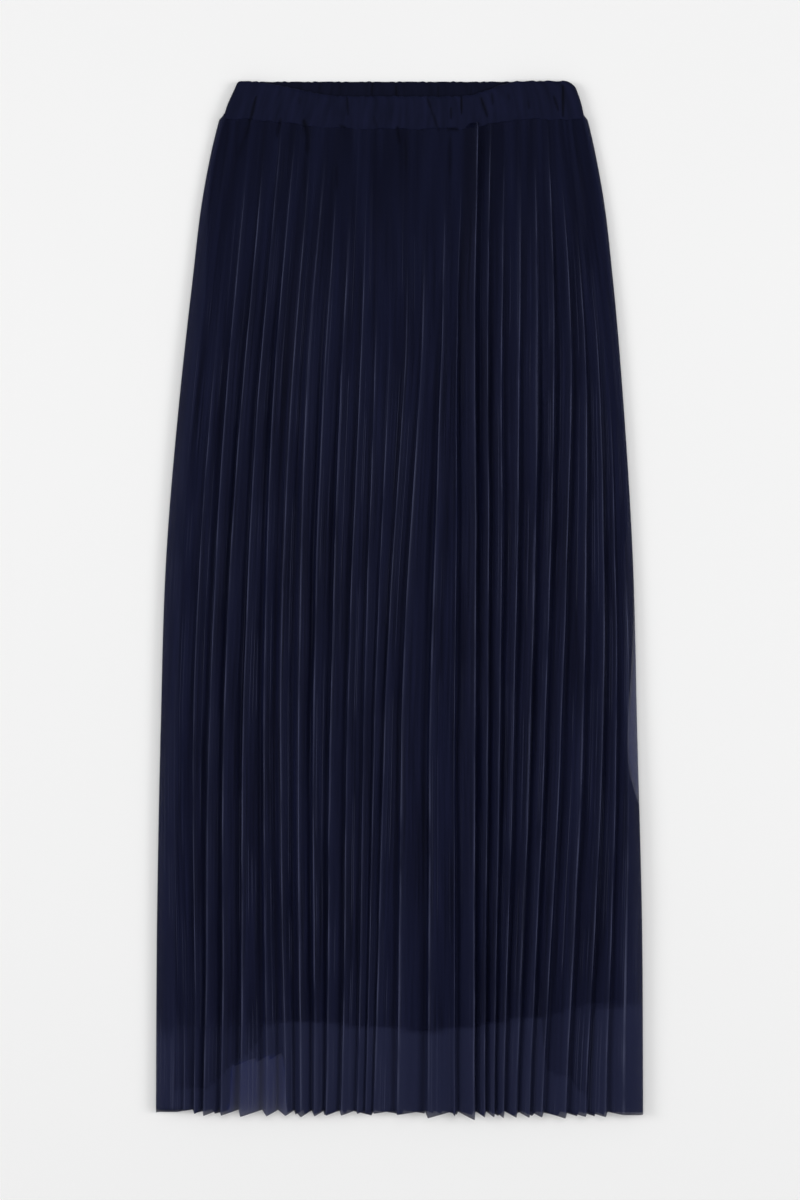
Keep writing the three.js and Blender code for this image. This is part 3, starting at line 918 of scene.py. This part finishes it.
def pleat_columns(down, left, right):
    """The points across a pleated panel at one height, as a named array of each number."""
    folds = [float(at(down)) for at in FOLD_AT]
    last = len(PLEATS) - 1
    points = []

    def point(x, at, pleat, near, phase=0.0, pressed=1.0):
        """at counts pleats from the first outer fold, and phase is 0 to 1 between two."""
        depth, below = PLEATS[near].depth, down - PLEATS[near].starts
        grown_by = smoothstep(-GROWING["above"], GROWING["below"], below)
        points.append(
            {
                "x": x,
                "u": at * PLEAT_CLOTH,
                "across": min(phase / pleat.inner, (1 - phase) / (1 - pleat.inner)),
                "fold": near,
                "valley": pleat.valley,
                "depth": depth * mix(GROWING["least"], 1, grown_by),
                "pressed": pressed * smoothstep(-GROWING["sharp"], GROWING["sharp"], below),
            }
        )

    outwards = np.linspace(0, 1, EDGE_COLUMNS, endpoint=False) ** 1.3
    for share in outwards:
        point(mix(left, folds[0], share), share - 1, PLEATS[0], 0, pressed=0)
    for i, pleat in enumerate(PLEATS[:-1]):
        inner = pleat.inner
        if inner > 0.5:  # the wide face comes first
            phases = [*WIDE_FACE * inner, *(inner + STEEP_FACE * (1 - inner))]
        else:
            steep = (1 - STEEP_FACE[::-1]) * inner
            phases = [0, *steep, *(inner + (1 - WIDE_FACE[:0:-1]) * (1 - inner))]
        for phase in phases:
            near = i if phase <= inner else i + 1
            point(mix(folds[i], folds[i + 1], phase), i + phase, pleat, near, phase)
    point(folds[-1], last, PLEATS[-1], last)
    for share in 1 - outwards[::-1]:
        point(mix(folds[-1], right, share), last + share, PLEATS[-1], last, pressed=0)
    return {key: np.array([each[key] for each in points], float) for key in points[0]}


def pleated_panel(side, cloth):
    """One pleated panel, as a flat mesh run through the pleating rule."""
    settings = bpy.context.scene.skirt_pleats
    is_back = side == "back"
    layer = f"pleats_{side}"
    rows = []
    for share, tucked in panel_rows():
        down = mix(LEVELS["waist"], LEVELS["hem"], share)
        left = float(LEFT_AT(down)) + SEAM_IN + tucked * TUCK_INSET
        right = float(RIGHT_AT(down)) - SEAM_IN - tucked * TUCK_INSET
        if is_back:
            right -= float(sliver_at(down))
        lying = mix(layers_at(down)[layer], SLOT[layer], closed_at(down, tucked))
        row = pleat_columns(down, left, right)
        if tucked:
            first, last = row["x"][0], row["x"][-1]
            row["x"] = left + (row["x"] - first) / (last - first) * (right - left)
        seen_at, lowered = row["x"], 0
        if is_back:
            row = {key: values[::-1] for key, values in row.items()}
            seen_at = row["x"]
            row["x"] = left + right - seen_at
            # Its outer folds lie on the table.
            row["depth"] = np.minimum(row["depth"], (lying - LOWEST) / BACK_PLEAT)
            lowered = BACK_LONGER - ride_up_at(row["x"]) * smoothstep(RIDE_FROM, 1, share)
        x = row["x"]
        reach = mix(band_foot(side, x) + FOOT_IN, hem_at(x) + lowered, share) - tucked * TUCK
        row |= {
            "y": LENGTH / 2 - reach,
            "v": reach,
            "down": reach * MM,
            "lying": lying * MM,
            "seam": seam_height(layer, down) * MM,
            "roll": mix(roll_at(x, left, right), 1, tucked),
            "hem": (1 - row["across"]) * smoothstep(HEM_FROM, 1, share),
            "gather": smoothstep(GATHERED["to"], 0, share) * smoothstep(0, GATHERED["from"], share),
            "depth": row["depth"] * (1 - tucked),
            "crease": crease_at(seen_at, reach, CREASES) * (1 - tucked),
            "bare": bareness_at(side, x, reach),
        }
        rows.append({key: np.broadcast_to(values, x.shape) for key, values in row.items()})
    whole = {key: np.array([row[key] for row in rows]) for key in rows[0]}
    x, y, u, v = (whole.pop(key) for key in "xyuv")
    panel = grid_mesh(f"pleated_mesh_{side}", x, y, 0 * x, (u, v), whole)
    grown(
        panel,
        pleating_tree(),
        {
            "Pleat Depth": -settings.back_depth if is_back else settings.front_depth,
            "Pressed Flat": settings.back_pressed if is_back else 0.0,
            "Unevenness": 0.0 if is_back else settings.unevenness,
            "Uneven Over": settings.uneven_over,
            "Drift": settings.drift,
            "Drift Over": (0.11, 0.24, 1.0),
            "Gather Depth": 0.0 if is_back else settings.gather_depth,
            "Gather Width": 9 * MM,
            "Crease Depth": (-1 if is_back else 1) * settings.crease_depth,
            "Fold Line": 0.068,
            "Hem Tooth": settings.hem_tooth,
            "Seed": settings.seed + (5 if is_back else 0),
            "Cloth": cloth,
        },
    )
    for name in POINT_NUMBERS:
        panel.data.attributes.remove(panel.data.attributes[name])
    return panel


class SKIRT_OT_pleated_layer(bpy.types.Operator):
    """Make the pleated mesh layer, front and back"""

    bl_idname = "skirt.pleated_layer"
    bl_label = "Pleated layer"

    def execute(self, context):
        wall = context.scene.skirt_cloth.mesh_wall
        cloth = material_once("mesh", sheer_mesh, context.scene.skirt_colours)
        for side in ("front", "back"):
            panel = thicken(pleated_panel(side, cloth), wall)
            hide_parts(f"pleated_{side}")
            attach(panel, "root")
        return {"FINISHED"}


class SKIRT_OT_lining(bpy.types.Operator):
    """Make the plain lining, front and back, with its sewn hem"""

    bl_idname = "skirt.lining"
    bl_label = "Lining"

    def execute(self, context):
        colours = context.scene.skirt_colours
        cloth = material_once(
            "lining",
            woven_cloth,
            "plain-woven polyester lining",
            colours.lining,
            colours.lining_light,
            0.55,
            0.05,
        )
        thread = material_once("thread", sewing_thread, colours)
        for side in ("front", "back"):
            panel = lining_panel(side)
            panel.data.materials.append(cloth)
            thicken(panel, context.scene.skirt_cloth.lining_wall)
            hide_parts(f"lining_{side}")
            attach(panel, "root")
            stitches = lining_stitches(side, thread)
            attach(stitches, "root")
        return {"FINISHED"}


LINING_COLUMNS = 150
LINING_TUCK = 3  # how far inside its ends the lining stays in the waistband
STITCH_RISE = 0.28  # height of the stitches above the lining's middle
STITCH_LINE = 300  # points along each row of stitches
STITCH_LEVEL = 800  # about how far down the rows lie


def lining_height(side, x, down):
    """Height of the lining's middle: it lies in slow, shallow waves."""
    layer = f"lining_{side}"
    level = np.clip(down, LEVELS["waist"], LEVELS["hem"])
    waves = 0.16 * np.sin(x / 23 + 1.5 * np.sin(down / 90)) + 0.1 * np.sin(x / 9.5 - down / 61)
    return layers_at(level)[layer] + waves * smoothstep(60, 140, down)


def lining_panel(side):
    layer = f"lining_{side}"
    rows = []
    for share, tucked in panel_rows():
        level = mix(LEVELS["waist"], LEVELS["hem"], share)
        left, right = lining_sides(level)
        inset = tucked * LINING_TUCK
        x = np.linspace(left + inset, right - inset, LINING_COLUMNS)
        foot = band_foot(side, x) + FOOT_IN
        reach = mix(foot, LINING_AT[side](x), share) - tucked * TUCK
        z = mix(lining_height(side, x, reach), SLOT[layer], closed_at(level, tucked))
        seam = seam_height(layer, level)
        roll = mix(roll_at(x, float(LEFT_AT(level)), float(RIGHT_AT(level))), 1, tucked)
        rows.append((x, LENGTH / 2 - reach, seam + (z - seam) * roll, x, reach))
    x, y, z, u, v = (np.array(part) for part in zip(*rows))
    return grid_mesh(f"lining_cloth_{side}", x, y, z, (u, v))


def lining_stitches(side, thread):
    """The row of stitches that holds the lining's hem."""
    left, right = lining_sides(STITCH_LEVEL)
    x = np.linspace(left + 1, right - 1, STITCH_LINE)
    down = LINING_AT[side](x) - LINING_SEW
    z = lining_height(side, x, down) + STITCH_RISE
    points = np.stack([x, LENGTH / 2 - down, z], axis=-1) * MM
    mesh = bpy.data.meshes.new(f"lining_stitches_{side}")
    mesh.from_pydata(points, [(i, i + 1) for i in range(len(points) - 1)], [])
    line = bpy.data.objects.new(mesh.name, mesh)
    bpy.context.collection.objects.link(line)
    return grown(
        line,
        stitching_tree(),
        {"Stitch Pitch": 3.0 * MM, "Stitch Length": 2.4 * MM, "Thread": 0.3 * MM, "Cloth": thread},
    )


# The waistband's strip, across its width: from its outer foot up over its upper edge and down
# the inside. Shares of the way up, and of the way from the outer wall to the inner one.
Fold = namedtuple("Fold", "up over")
BAND_SECTION = [
    Fold(0.0, 0.12),
    Fold(0.015, 0.05),
    Fold(0.05, 0.015),
    *(Fold(up, 0.0) for up in np.linspace(0.1, 0.86, 18)),
    Fold(0.91, 0.01),
    Fold(0.95, 0.05),
    Fold(0.98, 0.15),
    Fold(0.995, 0.3),
    Fold(1.0, 0.5),
    Fold(0.995, 0.7),
    Fold(0.98, 0.85),
    Fold(0.94, 0.95),
    *(Fold(up, 1.0) for up in np.linspace(0.88, 0.55, 8)),
    Fold(0.3, 1.0),
    Fold(0.08, 0.98),
    Fold(0.0, 0.84),
]
BAND_HALF = 300  # points along each half
BAND_TURN = 9  # points round each side
BAND_OUT = {"front": 1.75, "back": 1.45}  # the outer wall from the middle of its half
BAND_IN = 1.35  # the inner wall from the same middle
BAND_MIDDLE = {"front": 5.85, "back": 1.75}
BAND_CORNER = 6.5  # radius of the waistband's rounded upper right corner
BAND_LOWEST = 0.27  # least height of the middle of its cloth above the table
# How far the waistband's edges stray, and over what pitch they and its puckers ripple.
Waves = namedtuple("Waves", "height pitch")
TOP_WAVES = Waves(0.35, 9)
FOOT_WAVES = Waves(0.8, 26)
PUCKER_PITCH = 13
# How deep a crease is drawn in, as a share of its table's depth: on the outside, under the
# back and through to the inner wall. The inner wall has that share of the outer one's shape.
DRAWN = {"outside": 0.75, "under": 0.3, "through": 0.7, "inner": 0.8}
# Painted shade on the waistband's recessed inside.
INNER_SHADE = {"back": 0.55, "front": 0.22}  # how dark the inside is


def waistband_loop():
    """The points round the waistband: which part each is on, how far across, and its turn."""
    across = np.linspace(0, 1, BAND_HALF)
    turns = np.arange(1, BAND_TURN) / BAND_TURN
    ones = np.ones(BAND_TURN - 1)
    share = np.concatenate([across, ones, across[::-1], 0 * ones])
    angle = np.concatenate([0 * across + 90, 90 - 180 * turns, 0 * across - 90, 270 - 180 * turns])
    return share, np.radians(angle)


def waistband_strip(cloth, pucker):
    """The waistband: a strip folded lengthwise over its elastic, all the way round."""
    share, angle = waistband_loop()
    out_x, out_z = np.cos(angle), np.sin(angle)
    is_front, is_back = out_z > 0.99, out_z < -0.99
    out_x[is_front | is_back] = 0
    radius = (BAND_MIDDLE["front"] - BAND_MIDDLE["back"]) / 2
    centre = (BAND_MIDDLE["front"] + BAND_MIDDLE["back"]) / 2
    outer = np.where(out_z > 0, BAND_OUT["front"], BAND_OUT["back"])
    end = BAND_INSET + radius + BAND_OUT["front"]
    rows = []
    reach = 0.0
    before = BAND_SECTION[0]
    for fold in BAND_SECTION:
        level = BAND_HEIGHT * (1 - fold.up)
        missing = max(0.0, BAND_CORNER - level)
        rounded = BAND_CORNER - math.sqrt(BAND_CORNER**2 - missing**2)
        left, right = float(LEFT_AT(level)) + end, float(RIGHT_AT(level)) - end - rounded
        x = mix(left, right, share)
        dip = dip_at(x) * np.maximum(out_z, 0)
        ragged = TOP_WAVES.height * ripple(x, 40 * out_z, TOP_WAVES.pitch) * (0.4 + abs(out_z))
        top = FRONT_DIP * dip + ragged
        sagging = FOOT_WAVES.height * ripple(x, 60, FOOT_WAVES.pitch)
        foot = BAND_HEIGHT + (FRONT_DIP - BAND_EASE) * dip + sagging
        down = mix(foot, top, fold.up)
        is_outer = fold.over < 0.5
        mirrored = left + right - x
        front_side = crease_at(x, down, CREASES)
        back_side = crease_at(mirrored, down, CREASES)
        inside = crease_at(x, down, INNER_CREASES)
        drawn = np.where(is_front, front_side, np.where(is_back, back_side, 0))
        if not is_outer:
            drawn = np.where(is_back, inside, DRAWN["through"] * drawn)
        waist = math.sin(math.pi * np.clip(fold.up, 0.02, 0.98)) ** 0.4
        puffs = pucker * (0.5 + 0.5 * ripple(x, down, PUCKER_PITCH)) * waist
        pulled = puffs - DRAWN["outside"] * drawn
        shape = np.where(is_back & is_outer, -DRAWN["under"] * drawn, pulled)
        off = mix(outer, -BAND_IN, fold.over)
        off = off + (shape if is_outer else -DRAWN["inner"] * shape)
        z = np.maximum(centre + out_z * (radius + off), BAND_LOWEST)
        reach += math.hypot((fold.up - before.up) * BAND_HEIGHT, (fold.over - before.over) * 3)
        before = fold
        # Painted shade in its creases and on its inside.
        inner_shade = np.where(is_back, INNER_SHADE["back"], INNER_SHADE["front"])
        shade = np.maximum(np.minimum(drawn, 1), inner_shade * smoothstep(0.5, 0.9, fold.over))
        u = np.arange(len(share)) * 1.0
        rows.append((x + out_x * (radius + off), LENGTH / 2 - down, z, u, 0 * x + reach, shade))
    x, y, z, u, v, shade = (np.array(part) for part in zip(*rows))
    band = grid_mesh("waistband_strip", x, y, z, (u, v), {"shade": shade}, close=True)
    band.data.materials.append(cloth)
    return band


class SKIRT_OT_waistband(bpy.types.Operator):
    """Make the gathered waistband, all the way round"""

    bl_idname = "skirt.waistband"
    bl_label = "Waistband"

    def execute(self, context):
        colours = context.scene.skirt_colours
        settings = context.scene.skirt_cloth
        cloth = material_once(
            "band",
            woven_cloth,
            "plain-woven polyester crepe on elastic",
            colours.band,
            colours.band_light,
            0.6,
            0.04,
        )
        band = waistband_strip(cloth, settings.pucker / MM)
        thicken(band, settings.band_wall)
        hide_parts("waistband_front", "waistband_back")
        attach(band, "root")
        return {"FINISHED"}


class SKIRT_OT_stage(bpy.types.Operator):
    """Make the table, the studio lights and the camera above it"""

    bl_idname = "skirt.stage"
    bl_label = "Stage"

    def execute(self, context):
        scene = context.scene
        colours = scene.skirt_colours
        mesh = bpy.data.meshes.new("floor")
        side = 6
        corners = [(-side, -side, 0), (side, -side, 0), (side, side, 0), (-side, side, 0)]
        mesh.from_pydata(corners, [], [(0, 1, 2, 3)])
        mesh.materials.append(material_once("paper", matt_paper, colours.paper))
        floor = bpy.data.objects.new("floor", mesh)
        scene.collection.objects.link(floor)

        for name, place, size, power in (
            ("softbox_above", (0, 0.3, 3.4), 3.2, 37),
            ("softbox_left", (-3.2, 0.4, 2.2), 1.6, 55),
            ("softbox_right", (3.2, 0.2, 2.2), 1.6, 55),
        ):
            lamp = bpy.data.lights.new(name, "AREA")
            lamp.size = size
            lamp.energy = power
            light = bpy.data.objects.new(name, lamp)
            light.location = place
            aim = -light.location
            light.rotation_euler = aim.to_track_quat("-Z", "Y").to_euler()
            scene.collection.objects.link(light)

        world = bpy.data.worlds.new("studio")
        world.use_nodes = True
        world.node_tree.nodes["Background"].inputs["Color"].default_value = (1, 1, 1, 1)
        world.node_tree.nodes["Background"].inputs["Strength"].default_value = 0.33
        scene.world = world
        scene.view_settings.view_transform = "Standard"

        # The camera frames what the photograph does, whose middle lies 0.4 mm right of the
        # skirt's and as much above it.
        distance = 2.6
        lens = bpy.data.cameras.new("camera")
        lens.lens = lens.sensor_width * distance / (PHOTO_HEIGHT * PIXEL * MM)
        camera = bpy.data.objects.new("camera", lens)
        camera.location = (0.4 * MM, 0.4 * MM, distance)
        scene.collection.objects.link(camera)
        scene.camera = camera
        return {"FINISHED"}


class SKIRT_PT_panel(bpy.types.Panel):
    """Sizes, colours and pieces of the skirt"""

    bl_idname = "SKIRT_PT_panel"
    bl_label = "Pleated skirt"
    bl_space_type = "VIEW_3D"
    bl_region_type = "UI"
    bl_category = "Skirt"

    def draw(self, context):
        layout = self.layout
        for name, settings in SETTINGS.items():
            column = layout.column()
            for key in settings.__annotations__:
                column.prop(getattr(context.scene, name), key)
        for operator in OPERATORS:
            layout.operator(operator.bl_idname)


OPERATORS = (SKIRT_OT_pleated_layer, SKIRT_OT_lining, SKIRT_OT_waistband, SKIRT_OT_stage)
SETTINGS = {"skirt_pleats": SkirtPleats, "skirt_cloth": SkirtCloth, "skirt_colours": SkirtColours}


def register():
    for cls in (*SETTINGS.values(), *OPERATORS, SKIRT_PT_panel):
        bpy.utils.register_class(cls)
    for name, cls in SETTINGS.items():
        setattr(bpy.types.Scene, name, bpy.props.PointerProperty(type=cls))


def unregister():
    for name in SETTINGS:
        delattr(bpy.types.Scene, name)
    for cls in (SKIRT_PT_panel, *reversed(OPERATORS), *reversed(SETTINGS.values())):
        bpy.utils.unregister_class(cls)


def main():
    register()
    bpy.ops.skirt.pleated_layer()
    bpy.ops.skirt.lining()
    bpy.ops.skirt.waistband()
    bpy.ops.skirt.stage()


if __name__ == "__main__":
    main()
